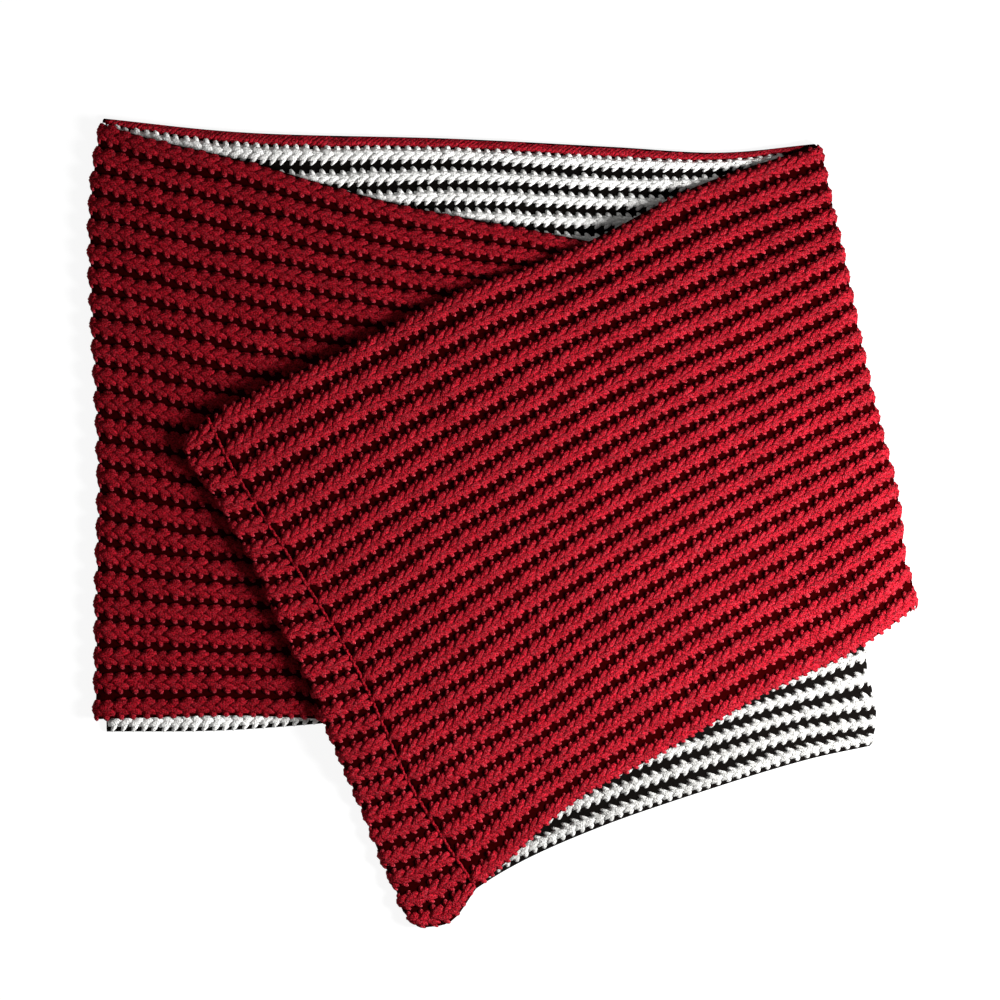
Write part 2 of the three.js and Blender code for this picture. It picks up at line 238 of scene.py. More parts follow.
def to_flat(along, rib):
    """Place on the flat cloth of a distance along a stretch and a rib number."""
    return seam_place + np.asarray(along) / flat_length, (lowest_rib - np.asarray(rib)) / flat_ribs


def stitch_surface(name, rows_at, first_rib, last_rib):
    """The surface at the yarn's level that the stitches are wrapped on. It runs on past the
    cloth's own ends. Its UV map is the flat cloth, and "facing" the way that the cloth faces."""
    ribs = np.arange(last_rib + 0.75, first_rib - 1, -0.25)
    inner, facing, along = rows_at(ribs)
    surface = inner + facing * yarn_level

    def run_on(end, beside):
        step = surface[end] - surface[beside]
        return surface[end] + step / np.linalg.norm(step, axis=-1, keepdims=True) * spare_cloth

    surface = np.concatenate([run_on(0, 1)[None], surface, run_on(-1, -2)[None]])
    facing = np.concatenate([facing[:1], facing, facing[-1:]])
    along = np.concatenate([along[:1] - spare_cloth, along, along[-1:] + spare_cloth])
    carrier = new_object(name, surface.reshape(-1, 3).tolist(),
                         grid_faces(*surface.shape[:2]).tolist())
    flat = to_flat(along, np.broadcast_to(ribs, along.shape))
    add_uv(carrier, "flat", np.stack(flat, axis=-1).reshape(-1, 2))
    way = carrier.data.attributes.new("facing", "FLOAT_VECTOR", "POINT")
    way.data.foreach_set("vector", facing.astype(np.float32).ravel())
    return carrier


def wale_lines(name, rows_at, ribs, stitch, covers=(), ends=(0.6, 0.65), phase=0.0, shifts=None):
    """A line on the flat cloth for each run of stitches that isn't hidden under a cover. phase is
    where the stitches stand, ends how far the first and last are from the stretch's ends, in
    stitches, and shifts how far a rib stands from the middle between its valleys, in ribs."""
    vertices, edges, shifts = [], [], shifts or {}
    inner, facing, along = rows_at(np.append(np.array(ribs) + 0.5, ribs[-1] + 1))
    for column, rib in enumerate(ribs):
        distance = along[:, column]
        first = math.ceil(distance[0] / stitch + ends[0] - phase)
        last = math.floor(distance[-1] / stitch - ends[1] - phase)
        at = (np.arange(first, last + 1) + phase) * stitch
        plan = np.stack([np.interp(at, distance, inner[:, column, k]) for k in range(2)], axis=-1)
        shows = np.ones(len(at), bool)
        for cover in covers:
            shows &= distance_outside(cover, plan) > -hidden_overlap
        starts = np.flatnonzero(shows & ~np.roll(shows, 1) | shows & (np.arange(len(at)) == 0))
        for start in starts:
            stop = start
            while stop + 1 < len(at) and shows[stop + 1]:
                stop += 1
            if stop > start:
                for end in (start, stop):
                    x, y = to_flat(at[end], rib + 0.5 + shifts.get(rib, 0))
                    vertices.append((float(x), float(y), 0.0))
                edges.append((len(vertices) - 2, len(vertices) - 1))
    return new_object(name, vertices, [], edges)


def yarn_stitch(name, legs, stitch, rib_width, opens_left=False):
    """One stitch as closed tubes of yarn, in stitch lengths along and rib widths across. A leg is
    how near it comes to a tip with a painted highlight, 0 to 1, and its points (along, across,
    height, half width), in stitches, ribs and millimetres."""
    sides = 5
    vertices, faces, uvs = [], [], []
    for reach, points in legs:
        rings = len(points)
        at = np.linspace(0, reach, rings)
        path = np.array(points)
        centre = path[:, :3] * np.array([stitch, rib_width, mm])
        radius = path[:, 3] * mm
        tangent = np.gradient(centre, axis=0)
        tangent /= np.linalg.norm(tangent, axis=1, keepdims=True)
        side = np.cross(tangent, (0, 0, 1))
        side /= np.linalg.norm(side, axis=1, keepdims=True)
        over = np.cross(side, tangent)
        turn = math.pi / 2 + 2 * math.pi * np.arange(sides) / sides
        first = len(vertices)
        for n in range(rings):
            for k in range(sides):
                offset = side[n] * math.cos(turn[k]) + yarn_flatness * over[n] * math.sin(turn[k])
                x, y, z = centre[n] + radius[n] * offset
                x /= stitch
                vertices.append((-x if opens_left else x, y / rib_width, z))
        for n in range(rings - 1):
            for k in range(sides):
                a, b = first + n * sides + k, first + n * sides + (k + 1) % sides
                faces.append((a, b, b + sides, a + sides))
                around = (k / sides, (k + 1) / sides)
                uvs.append([(around[0], at[n]), (around[1], at[n]),
                            (around[1], at[n + 1]), (around[0], at[n + 1])])
        last = first + (rings - 1) * sides
        faces.append(tuple(first + k for k in reversed(range(sides))))
        faces.append(tuple(last + k for k in range(sides)))
        uvs.append([(k / sides, 0) for k in reversed(range(sides))])
        uvs.append([(k / sides, reach) for k in range(sides)])
    stitch_object = new_object(name, vertices, faces)
    layer = stitch_object.data.uv_layers.new(name="yarn")
    for place, uv in zip(layer.data, [uv for face in uvs for uv in face]):
        place.uv = uv
    form = bmesh.new()
    form.from_mesh(stitch_object.data)
    bmesh.ops.recalc_face_normals(form, faces=form.faces)
    form.to_mesh(stitch_object.data)
    form.free()
    return stitch_object


def add_node(tree, kind, settings=None, inputs=None):
    """A new node, with its settings, and its inputs given as values or as other nodes' outputs."""
    node = tree.nodes.new(kind)
    for name, value in (settings or {}).items():
        setattr(node, name, value)
    for key, value in (inputs or {}).items():
        if isinstance(value, bpy.types.NodeSocket):
            tree.links.new(value, node.inputs[key])
        else:
            node.inputs[key].default_value = value
    return node


def stitch_row_tree():
    """Geometry Nodes: stitches along lines on the flat cloth, then wrapped on its surface."""
    tree = bpy.data.node_groups.new("stitch_rows", "GeometryNodeTree")
    for name, kind in (("Lines", "Geometry"), ("Surface", "Object"), ("Stitch", "Object"),
                       ("Spacing", "Float"), ("Stitch Size", "Vector"), ("Seed", "Int"),
                       ("Yarn", "Material")):
        tree.interface.new_socket(name, in_out="INPUT", socket_type="NodeSocket" + kind)
    tree.interface.new_socket("Stitches", in_out="OUTPUT", socket_type="NodeSocketGeometry")
    given = tree.nodes.new("NodeGroupInput").outputs
    lines = add_node(tree, "GeometryNodeMeshToCurve", inputs={"Mesh": given["Lines"]})
    rows = add_node(tree, "GeometryNodeResampleCurve", {"mode": "LENGTH"},
                    {"Curve": lines.outputs[0], "Length": given["Spacing"]})
    wander = add_node(tree, "FunctionNodeRandomValue", {"data_type": "FLOAT_VECTOR"},
                      {0: (-0.07, -0.035, 0), 1: (0.07, 0.035, 0), "Seed": given["Seed"]})
    offset = add_node(tree, "ShaderNodeVectorMath", {"operation": "MULTIPLY"},
                      {0: wander.outputs[0], 1: given["Stitch Size"]})
    moved = add_node(tree, "GeometryNodeSetPosition", inputs={
        "Geometry": rows.outputs[0], "Offset": offset.outputs[0]})
    swell = add_node(tree, "FunctionNodeRandomValue", {"data_type": "FLOAT_VECTOR"},
                     {0: (0.95, 0.93, 0.94), 1: (1.06, 1.07, 1.05), "Seed": given["Seed"]})
    size = add_node(tree, "ShaderNodeVectorMath", {"operation": "MULTIPLY"},
                    {0: swell.outputs[0], 1: given["Stitch Size"]})
    stitch = add_node(tree, "GeometryNodeObjectInfo", inputs={"Object": given["Stitch"]})
    placed = add_node(tree, "GeometryNodeInstanceOnPoints", inputs={
        "Points": moved.outputs[0], "Instance": stitch.outputs["Geometry"],
        "Scale": size.outputs[0]})
    shade = add_node(tree, "FunctionNodeRandomValue", {"data_type": "FLOAT"},
                     {2: 0.0, 3: 1.0, "Seed": given["Seed"]})
    shaded = add_node(tree, "GeometryNodeStoreNamedAttribute",
                      {"data_type": "FLOAT", "domain": "INSTANCE"},
                      {"Geometry": placed.outputs[0], "Name": "shade", "Value": shade.outputs[1]})
    yarn = add_node(tree, "GeometryNodeRealizeInstances", inputs={"Geometry": shaded.outputs[0]})
    place = add_node(tree, "GeometryNodeInputPosition")
    surface = add_node(tree, "GeometryNodeObjectInfo", inputs={"Object": given["Surface"]})
    flat = add_node(tree, "GeometryNodeInputNamedAttribute", {"data_type": "FLOAT_VECTOR"},
                    {"Name": "flat"})
    way = add_node(tree, "GeometryNodeInputNamedAttribute", {"data_type": "FLOAT_VECTOR"},
                   {"Name": "facing"})

    def on_surface(value):
        return add_node(tree, "GeometryNodeSampleUVSurface", {"data_type": "FLOAT_VECTOR"}, {
            "Mesh": surface.outputs["Geometry"], "Value": value,
            "UV Map": flat.outputs[0], "Sample UV": place.outputs[0]})

    point, facing = on_surface(place.outputs[0]), on_surface(way.outputs[0])
    height = add_node(tree, "ShaderNodeSeparateXYZ", inputs={0: place.outputs[0]})
    above = add_node(tree, "ShaderNodeMath", {"operation": "SUBTRACT"},
                     {0: height.outputs["Z"], 1: yarn_level})
    rise = add_node(tree, "ShaderNodeVectorMath", {"operation": "SCALE"},
                    {0: facing.outputs[0], "Scale": above.outputs[0]})
    wrapped = add_node(tree, "ShaderNodeVectorMath", {"operation": "ADD"},
                       {0: point.outputs[0], 1: rise.outputs[0]})
    on_cloth = add_node(tree, "GeometryNodeSetPosition", inputs={
        "Geometry": yarn.outputs[0], "Position": wrapped.outputs[0]})
    smooth = add_node(tree, "GeometryNodeSetShadeSmooth", inputs={"Geometry": on_cloth.outputs[0]})
    finished = add_node(tree, "GeometryNodeSetMaterial", inputs={
        "Geometry": smooth.outputs[0], "Material": given["Yarn"]})
    result = tree.nodes.new("NodeGroupOutput")
    tree.links.new(finished.outputs[0], result.inputs[0])
    return tree


stitch_rows = stitch_row_tree()


# A hair less than the whole spacing, so that rounding never drops the last stitch of a row
spacing_share = 0.999


def knit_rows(name, lines, surface, stitch, spacing, size, yarn, seed):
    """Runs the stitch tree on the lines and keeps what it makes as a plain mesh."""
    modifier = lines.modifiers.new("stitches", "NODES")
    modifier.node_group = stitch_rows
    values = {"Surface": surface, "Stitch": stitch, "Spacing": spacing * spacing_share,
              "Stitch Size": size, "Seed": seed, "Yarn": yarn}
    for item in stitch_rows.interface.items_tree:
        if item.in_out == "INPUT" and item.name in values:
            modifier[item.identifier] = values[item.name]
    bpy.context.view_layer.update()
    evaluated = lines.evaluated_get(bpy.context.evaluated_depsgraph_get())
    mesh = bpy.data.meshes.new_from_object(evaluated)
    mesh.name = name
    lines.modifiers.remove(modifier)
    bpy.data.objects.remove(lines)
    piece = bpy.data.objects.new(name, mesh)
    bpy.context.scene.collection.objects.link(piece)
    return piece


def yarn_ply_group():
    """Soft plied yarn: a slight twist, tufts of fibre, and fine curled fibres that catch light."""
    group = bpy.data.node_groups.new("yarn_ply", "ShaderNodeTree")
    for name, kind in (("Place", "Vector"), ("Turns", "Float"), ("Depth", "Float")):
        group.interface.new_socket(name, in_out="INPUT", socket_type="NodeSocket" + kind)
    for name, kind in (("Tuft", "Float"), ("Thread", "Float"), ("Tip Highlight", "Float"),
                       ("Normal", "Vector")):
        group.interface.new_socket(name, in_out="OUTPUT", socket_type="NodeSocket" + kind)
    given = group.nodes.new("NodeGroupInput").outputs
    place = add_node(group, "ShaderNodeSeparateXYZ", inputs={0: given["Place"]})

    def math_node(operation, a, b=0.0, c=0.0):
        return add_node(group, "ShaderNodeMath", {"operation": operation},
                        {0: a, 1: b, 2: c}).outputs[0]

    def noise(scale, detail):
        return add_node(group, "ShaderNodeTexNoise", inputs={
            "Vector": where.outputs["Object"], "Scale": scale, "Detail": detail}).outputs[0]

    # Besides the bumps, these masks place the yarn's painted shade and painted highlights in
    # yarn_finish
    twist = math_node("MULTIPLY", place.outputs["Y"], given["Turns"])
    strand = math_node("MULTIPLY_ADD", place.outputs["X"], 2.0, twist)
    wave = math_node("SINE", math_node("MULTIPLY", strand, 2 * math.pi))
    where = add_node(group, "ShaderNodeTexCoord")
    fibre = math_node("MULTIPLY_ADD", wave, 0.035, noise(1300.0, 2.0))
    tuft = add_node(group, "ShaderNodeMapRange", inputs={
        "Value": fibre, "From Min": 0.37, "From Max": 0.63}).outputs[0]
    curl = math_node("ABSOLUTE", math_node("SUBTRACT", noise(620.0, 1.5), 0.5))
    thread = add_node(group, "ShaderNodeMapRange", inputs={
        "Value": curl, "From Min": 0.008, "From Max": 0.034, "To Min": 1.0, "To Max": 0.0}).outputs[0]
    height = math_node("MULTIPLY_ADD", thread, 0.5, tuft)
    bump = add_node(group, "ShaderNodeBump", inputs={
        "Height": height, "Strength": given["Depth"], "Distance": 0.0005})
    # Where the painted highlight goes at the stitch tips: near a leg's end, on its tufts
    tip = math_node("MULTIPLY", math_node("POWER", place.outputs["Y"], 4.0), tuft)
    result = group.nodes.new("NodeGroupOutput")
    for name, value in (("Tuft", tuft), ("Thread", thread), ("Tip Highlight", tip),
                        ("Normal", bump.outputs[0])):
        group.links.new(value, result.inputs[name])
    return group


yarn_ply = yarn_ply_group()


def yarn_finish(name, shaded_groove, lit_ridge, pale, sheen, specular):
    """Yarn with painted shade on its low fibre and painted highlights on its curled fibres and stitch
    tips.
    """
    finish = bpy.data.materials.new(name)
    finish.use_nodes = True
    tree = finish.node_tree
    tree.nodes.clear()
    place = add_node(tree, "ShaderNodeUVMap", {"uv_map": "yarn"})
    shade = add_node(tree, "ShaderNodeAttribute", {"attribute_name": "shade"})
    ply = add_node(tree, "ShaderNodeGroup", {"node_tree": yarn_ply},
                   {"Place": place.outputs[0], "Turns": 3.0, "Depth": 0.8})
    # Painted shade: the colour runs from the dark groove colour where the fibre bump is low to the
    # lighter ridge colour where it is high
    strands = add_node(tree, "ShaderNodeMix", {"data_type": "RGBA"},
                       {0: ply.outputs["Tuft"], 6: shaded_groove, 7: lit_ridge})
    # Painted highlights in the pale colour on the curled fibres and at the stitch tips
    light = add_node(tree, "ShaderNodeMath", {"operation": "MULTIPLY_ADD", "use_clamp": True},
                     {0: ply.outputs["Thread"], 1: 0.22, 2: ply.outputs["Tip Highlight"]})
    ends = add_node(tree, "ShaderNodeMix", {"data_type": "RGBA"},
                    {0: light.outputs[0], 6: strands.outputs[2], 7: pale})
    level = add_node(tree, "ShaderNodeMapRange", inputs={
        "Value": shade.outputs["Fac"], "To Min": 0.86, "To Max": 1.1})
    colour = add_node(tree, "ShaderNodeHueSaturation", inputs={
        "Value": level.outputs[0], "Color": ends.outputs[2]})
    surface = add_node(tree, "ShaderNodeBsdfPrincipled", inputs={
        "Base Color": colour.outputs[0], "Normal": ply.outputs["Normal"],
        "Roughness": 0.85, "Sheen Weight": sheen, "Sheen Roughness": 0.4,
        "Specular IOR Level": specular})
    result = tree.nodes.new("ShaderNodeOutputMaterial")
    tree.links.new(surface.outputs[0], result.inputs[0])
    return finish


def ground_finish(name, colour):
    """The black yarn between the ribs: dull, with a fine fibre grain."""
    finish = bpy.data.materials.new(name)
    finish.use_nodes = True
    tree = finish.node_tree
    tree.nodes.clear()
    where = add_node(tree, "ShaderNodeTexCoord")
    grain = add_node(tree, "ShaderNodeTexNoise", inputs={
        "Vector": where.outputs["Object"], "Scale": 900.0, "Detail": 3.0})
    bump = add_node(tree, "ShaderNodeBump", inputs={
        "Height": grain.outputs[0], "Strength": 0.5, "Distance": 0.0004})
    lighter = [min(1.0, 2.2 * part) for part in colour[:3]] + [1.0]
    tone = add_node(tree, "ShaderNodeMix", {"data_type": "RGBA"},
                    {0: grain.outputs[0], 6: colour, 7: lighter})
    surface = add_node(tree, "ShaderNodeBsdfPrincipled", inputs={
        "Base Color": tone.outputs[2], "Normal": bump.outputs[0], "Roughness": 0.95,
        "Specular IOR Level": 0.0})
    result = tree.nodes.new("ShaderNodeOutputMaterial")
    tree.links.new(surface.outputs[0], result.inputs[0])
    return finish


def rib_face_group():
    """Ribs of stitches on the cloth's other face, from its UV map in stitches and ribs."""
    group = bpy.data.node_groups.new("rib_face", "ShaderNodeTree")
    group.interface.new_socket("Knit", in_out="INPUT", socket_type="NodeSocketVector")
    group.interface.new_socket("Rib", in_out="OUTPUT", socket_type="NodeSocketFloat")
    group.interface.new_socket("Normal", in_out="OUTPUT", socket_type="NodeSocketVector")
    given = group.nodes.new("NodeGroupInput").outputs
    knit = add_node(group, "ShaderNodeSeparateXYZ", inputs={0: given["Knit"]})

    def math_node(operation, a, b=0.0, c=0.0):
        return add_node(group, "ShaderNodeMath", {"operation": operation},
                        {0: a, 1: b, 2: c}).outputs[0]

    across = math_node("ABSOLUTE", math_node("SUBTRACT", math_node("FRACT", knit.outputs["Y"]), 0.5))
    lean = math_node("MULTIPLY_ADD", across, 1.6, knit.outputs["X"])
    leg = math_node("ABSOLUTE", math_node("SUBTRACT", math_node("FRACT", lean), 0.5))
    edge = math_node("MULTIPLY_ADD", leg, 0.24, 0.25)
    rib = add_node(group, "ShaderNodeMapRange", inputs={
        "Value": math_node("SUBTRACT", edge, across), "From Min": -0.01, "From Max": 0.03})
    height = math_node("MULTIPLY", rib.outputs[0], math_node("MULTIPLY_ADD", leg, 1.2, 0.4))
    bump = add_node(group, "ShaderNodeBump", inputs={
        "Height": height, "Strength": 0.8, "Distance": 0.001})
    result = group.nodes.new("NodeGroupOutput")
    group.links.new(rib.outputs[0], result.inputs["Rib"])
    group.links.new(bump.outputs[0], result.inputs["Normal"])
    return group


rib_face = rib_face_group()


def face_finish(name, black, colour):
    """The cloth's other face, where no single stitch is seen: ribs in colour over black."""
    finish = bpy.data.materials.new(name)
    finish.use_nodes = True
    tree = finish.node_tree
    tree.nodes.clear()
    knit = add_node(tree, "ShaderNodeUVMap", {"uv_map": "knit"})
    ribs = add_node(tree, "ShaderNodeGroup", {"node_tree": rib_face}, {"Knit": knit.outputs[0]})
    where = add_node(tree, "ShaderNodeTexCoord")
    grain = add_node(tree, "ShaderNodeTexNoise", inputs={
        "Vector": where.outputs["Object"], "Scale": 700.0, "Detail": 2.0})
    tone = add_node(tree, "ShaderNodeMapRange", inputs={
        "Value": grain.outputs[0], "To Min": 0.7, "To Max": 1.15})
    dyed = add_node(tree, "ShaderNodeHueSaturation", inputs={
        "Value": tone.outputs[0], "Color": colour})
    both = add_node(tree, "ShaderNodeMix", {"data_type": "RGBA"},
                    {0: ribs.outputs["Rib"], 6: black, 7: dyed.outputs[0]})
    surface = add_node(tree, "ShaderNodeBsdfPrincipled", inputs={
        "Base Color": both.outputs[2], "Normal": ribs.outputs["Normal"], "Roughness": 0.9,
        "Sheen Weight": 0.2, "Specular IOR Level": 0.2})
    result = tree.nodes.new("ShaderNodeOutputMaterial")
    tree.links.new(surface.outputs[0], result.inputs[0])
    return finish


black = (0.0022, 0.0018, 0.0016, 1.0)
black_ground = ground_finish("black_ground", black)
red_reverse = face_finish("red_reverse", black, (0.42, 0.008, 0.03, 1.0))
white_yarn = yarn_finish("white_yarn", (0.80, 0.79, 0.76, 1.0), (0.96, 0.955, 0.935, 1.0),
                         (0.90, 0.89, 0.87, 1.0), 0.1, 0.12)

# One knit stitch: two legs side by side along the middle of the rib, and from each of them the
# turn of yarn that goes outwards and down into the black valley
white_legs = [
    (0.4, [(-0.72, -0.06, 2.1, 1.2), (-0.25, 0.03, 2.5, 1.4), (0.20, 0.10, 2.55, 1.4),
           (0.72, 0.15, 1.9, 1.05)]),
    (0.4, [(-0.62, 0.06, 2.1, 1.2), (-0.15, -0.03, 2.5, 1.4), (0.30, -0.10, 2.55, 1.4),
           (0.80, -0.15, 1.9, 1.05)]),
    (0.9, [(-0.08, 0.13, 2.1, 1.1), (0.06, 0.22, 2.3, 1.2), (0.24, 0.31, 2.1, 1.1),
           (0.38, 0.385, 1.3, 0.75)]),
    (0.9, [(-0.02, -0.13, 2.1, 1.1), (0.12, -0.22, 2.3, 1.2), (0.32, -0.31, 2.1, 1.1),
           (0.46, -0.385, 1.3, 0.75)]),
]
back_stitch_length = 5.05 * mm
back_rib_width = 10.2 * mm
white_stitch = yarn_stitch("white_stitch", white_legs, back_stitch_length, back_rib_width,
                           opens_left=True)


def back_height(plan):
    return np.zeros(plan.shape[:-1])


def back_places(rib):
    """From just inside the left fold to just inside the outer one, which is rounder lower down."""
    return np.linspace(0.0105, np.interp(rib, (0, 6), (0.985, 0.968)), 90)


def back_rows(ribs):
    return with_distance(*flat_rows(back_lines, back_height, back_places, ribs))


# What lies over the back stretch, in plan: the left stretch and the top one with its end band
seam_line = [(0, -148, 55), (2, -136, 30.5), (6, -108, -13.5), (12, -73, -71.5),
             (18, -46, -130), (21, -28, -160), (23, -13, -182)]
end_fold_line = [(0, -158.5, 45), (1, -158.5, 34.5), (2, -151.5, 24.5), (3, -145, 15.5),
                 (6, -126, -18.5), (12, -98, -79), (18, -71.5, -141), (20, -63.8, -161.5),
                 (22, -54.2, -183.5), (23, -50.8, -193.5), (24, -42, -202.5)]
inner_fold_line = [(0, 167, 117), (6, 171, 62), (12, 176, 5.5), (18, 180.5, -50),
                   (20, 182, -69), (22, 187, -93), (24, 185, -110)]
left_lines = [
    inner_fold_line,
    [(0, 43, 143), (6, 43, 87), (12, 43, 25.5), (18, 43, -38.5), (24, 43, -104.5)],
    [(0, -52, 161.5), (6, -52, 98), (12, -52, 32), (18, -52, -33), (24, -52, -100)],
    [(0, -127, 182.5), (6, -127, 111.5), (12, -127, 40.5), (18, -127, -29), (24, -127, -96)],
    [(0, -177, 194.5), (6, -177, 123.5), (12, -177, 51), (18, -177, -25), (24, -177, -97)],
    left_fold_line,
]
top_lines = [
    seam_line,
    [(0, -127, 66.5), (6, -91, -4), (12, -59, -63), (18, -28, -118.5), (23, 1, -170)],
    [(0, -83, 87), (6, -49, 21.5), (12, -18, -37), (18, 13.5, -95.5), (23, 36, -138.5)],
    [(0, -23, 117), (6, 6, 51.5), (12, 32, -7.5), (18, 57, -64.5), (23, 79, -114.5)],
    [(0, 40, 141.5), (6, 64, 81.5), (12, 88, 24), (18, 111, -33), (23, 132, -83.5)],
    [(0, 98, 171), (6, 119, 105.5), (12, 138, 48.5), (18, 156, -9.5), (23, 172, -64.5)],
    outer_fold_line,
]
left_outline = outline_of(left_lines, 0, 24)
top_cover = outline_of([[(rib * 23 / 24, x, y) for rib, x, y in end_fold_line], *top_lines], 0, 23)

back_cloth = cloth_shell("back_cloth", back_rows, range(0, 24), back_stitch_length,
                         (black_ground, red_reverse), inner_relief=0.35 * mm, trims=(0.0, 0.09))
back_surface = stitch_surface("back_surface", back_rows, -1, 24)
back_size = (back_stitch_length / flat_length, 1 / flat_ribs, 1)
back_wales = wale_lines("back_wales", back_rows, range(1, 24), back_stitch_length,
                        (left_outline, top_cover))
back_ribs = knit_rows("back_ribs", back_wales, back_surface, white_stitch, back_size[0], back_size,
                      white_yarn, 3)
edge_wale = wale_lines("edge_wale", back_rows, [0], back_stitch_length, (left_outline, top_cover),
                       ends=(0.6, 2.6), shifts={0: -0.06})
edge_rib = knit_rows("back_edge_rib", edge_wale, back_surface, white_stitch, back_size[0],
                     (back_size[0], 1.15 / flat_ribs, 1), white_yarn, 4)
for piece in (back_cloth, back_ribs, edge_rib):
    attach(piece, "root")
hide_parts("back_stretch")


# Back rim: the back stretch's upper edge, rolled over by itself as knitted edges do, so that one
# rib of its red face shows. Nothing holds it.

# The black yarn between the red ribs is given a dark red, as a painted reflection of the red ribs
# beside it
black_ground_red_reflection = ground_finish("black_ground_red_reflection", (0.0105, 0.0001, 0.0002, 1.0))
white_reverse = face_finish("white_reverse", black, (0.82, 0.81, 0.78, 1.0))
red_yarn = yarn_finish("red_yarn", (0.095, 0.0004, 0.0016, 1.0), (0.405, 0.0085, 0.02, 1.0),
                       (0.62, 0.10, 0.13, 1.0), 0.0, 0.03)

# Stitches on the red face are drawn at this length and rib width, then fitted to each stretch
drawn_stitch = 5.35 * mm
drawn_rib = 11.3 * mm

# The rolled edge shows the turns of yarn side by side, as in a rope
rim_legs = [
    (0.4, [(-0.62, -0.17, 1.6, 1.2), (-0.22, -0.09, 2.5, 1.6), (0.22, 0.09, 2.5, 1.6),
           (0.62, 0.17, 1.6, 1.2)]),
    (0.4, [(-0.12, -0.17, 1.6, 1.2), (0.28, -0.09, 2.5, 1.6), (0.72, 0.09, 2.5, 1.6),
           (1.12, 0.17, 1.6, 1.2)]),
]
rim_stitch_length = 4.9 * mm
rim_stitch = yarn_stitch("rim_stitch", rim_legs, drawn_stitch, drawn_rib)


def rim_rows(ribs):
    return with_distance(*flat_rows(back_lines, back_height, np.linspace(0.002, 0.999, 90), ribs))


rim_cloth = cloth_shell("rim_cloth", rim_rows, [-1], rim_stitch_length,
                        (black_ground_red_reflection, white_reverse), trims=(0.16, 0.0))
rim_surface = stitch_surface("rim_surface", rim_rows, -1, 0)
rim_wale = wale_lines("rim_wales", rim_rows, [-1], rim_stitch_length, (top_cover,),
                      ends=(0.7, 1.2), shifts={-1: 0.2})
rim_rib = knit_rows("rim_rib", rim_wale, rim_surface, rim_stitch,
                    rim_stitch_length / flat_length,
                    (rim_stitch_length / flat_length, 1.6 / flat_ribs, 1), red_yarn, 5)
for piece in (rim_cloth, rim_rib):
    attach(piece, "root")
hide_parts("back_rim")


# Left stretch: the next quarter of the loop, the same knit with its red face up. It lies loose on
# the back stretch, shows at the left, and turns down there round the left fold.

# The cloth as the CAD has it: wall, height of a layer, drape over the edge of what lies below, and
# how flat it is pressed under a fold
cloth_thickness = 2.2 * mm
layer_pitch = 4.1 * mm
drape_start = 7 * mm
drape_run = 36 * mm
underside_flatness = 0.62

left_stitch_length = 6.6 * mm
# The left stretch's red yarn: the top stretch's yarn made darker, as painted shade for its place
# further from the light
left_yarn_painted_shade = yarn_finish("left_yarn_painted_shade", (0.09, 0.0003, 0.0011, 1.0), (0.345, 0.006, 0.0155, 1.0),
                        (0.46, 0.065, 0.09, 1.0), 0.0, 0.03)
back_outline = outline_of(back_lines, -1, 24)


def smooth_step(value):
    value = np.clip(value, 0, 1)
    return value * value * (3 - 2 * value)


def lift(corners, points):
    """The share of a layer's height by which it lifts what lies over it at these points."""
    away = np.maximum(distance_outside(corners, points), 0)
    return 1 - smooth_step((away - drape_start) / drape_run)


def fold_rows(lines, upper_height, lower_height, ribs, crease=None):
    """Points and ways of the inner face round the fold at a stretch's end, from its top down to its
    underside."""
    turn, beside = plan_points(lines, [1], ribs)[0], plan_points(lines, [0.97], ribs)[0]
    outward = turn - beside
    outward /= np.linalg.norm(outward, axis=1, keepdims=True)
    beside = turn - layer_pitch * outward
    bottom = lower_height(beside)
    top = upper_height(beside)
    if crease is not None:
        top = top + crease(1.0, np.array(ribs))
    radius = (top + cloth_thickness - bottom) / 2
    angle = np.linspace(0, math.pi, 17)[:, None]
    reach = (radius - cloth_thickness) * np.sin(angle) - radius
    plan = turn + reach[..., None] * outward
    level = bottom + radius + (radius - cloth_thickness) * np.cos(angle)
    facing = np.concatenate([np.sin(angle)[..., None] * outward,
                             np.cos(angle)[..., None] + np.zeros((1, len(turn), 1))], axis=-1)
    flatness = 1 - (1 - underside_flatness) * smooth_step(angle / math.pi * 2 - 1)
    return np.concatenate([plan, level[..., None]], axis=-1), facing * flatness[..., None]


def folded_rows(flat, fold, **order):
    """Rows of a stretch's flat part, with those of the fold at its end after them."""
    inner, facing = (np.concatenate(both) for both in zip(flat, fold))
    return with_distance(inner, facing, **order)


def left_height(plan):
    return layer_pitch * lift(back_outline, plan)


def left_rows(ribs):
    flat = flat_rows(left_lines, left_height, np.linspace(0.008, 0.955, 110), ribs)
    fold = fold_rows(left_lines, left_height, back_height, ribs)
    return folded_rows(flat, fold, runs_left=True)


# In this stretch's stitch the legs stand a little above the middle of the rib, and the turns at the
# rib's upper edge lie along it
left_legs = [
    (0.4, [(-0.76, 0.02, 2.1, 1.5), (-0.25, 0.14, 2.5, 1.8), (0.20, 0.20, 2.55, 1.8),
           (0.74, 0.23, 2.0, 1.4)]),
    (0.4, [(-0.66, 0.15, 2.1, 1.5), (-0.15, 0.02, 2.5, 1.8), (0.30, -0.07, 2.55, 1.8),
           (0.82, -0.10, 2.0, 1.5)]),
    (0.8, [(-0.15, 0.26, 2.2, 1.3), (0.10, 0.31, 2.2, 1.35), (0.33, 0.335, 2.0, 1.2),
           (0.48, 0.34, 1.6, 0.8)]),
    (1.0, [(0.00, -0.12, 2.1, 1.3), (0.09, -0.22, 2.3, 1.45), (0.17, -0.31, 2.0, 1.25),
           (0.22, -0.375, 1.5, 0.8)]),
]
left_stitch = yarn_stitch("left_stitch", left_legs, drawn_stitch, drawn_rib)
